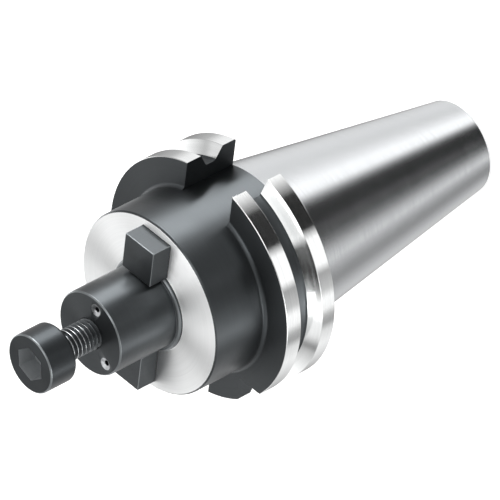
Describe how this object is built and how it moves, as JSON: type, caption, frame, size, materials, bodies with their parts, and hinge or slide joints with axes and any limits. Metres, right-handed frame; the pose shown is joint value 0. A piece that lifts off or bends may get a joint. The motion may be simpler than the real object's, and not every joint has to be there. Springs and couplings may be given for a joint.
{
  "type": "face mill arbor",
  "caption": "Steep-taper face mill arbor: ground taper, gripper flange with drive slots, collar with drive keys, pilot and clamping screw.",
  "frame": {"origin": "centre of the tail end face, the small end of the taper, on which the arbor stands", "axes": "+Z along the arbor's axis towards the clamping screw; the drive slots and drive keys lie on Y, with the shallower slot on +Y; the index notch is between -X and +Y"},
  "size_m": [0.0636, 0.0614, 0.1415],
  "materials": {
    "ground_steel": "case-hardened steel, taper and flange rims ground bright, the rest of the body blackened, cutter seat fine turned",
    "key_steel": "hardened steel block, blackened, satin",
    "screw_steel": "alloy steel cap screw, blackened head, bright rolled thread"
  },
  "bodies": {
    "arbor": {"arbor_body": "ground_steel", "drive_key_front": "key_steel", "drive_key_rear": "key_steel"},
    "screw": {"clamping_screw": "screw_steel"}
  },
  "joints": [
    {"name": "screw_travel", "type": "slide", "parent": "arbor", "child": "screw", "axis": [0, 0, 1], "range_m": [-0.0105, 0.012]}
  ]
}
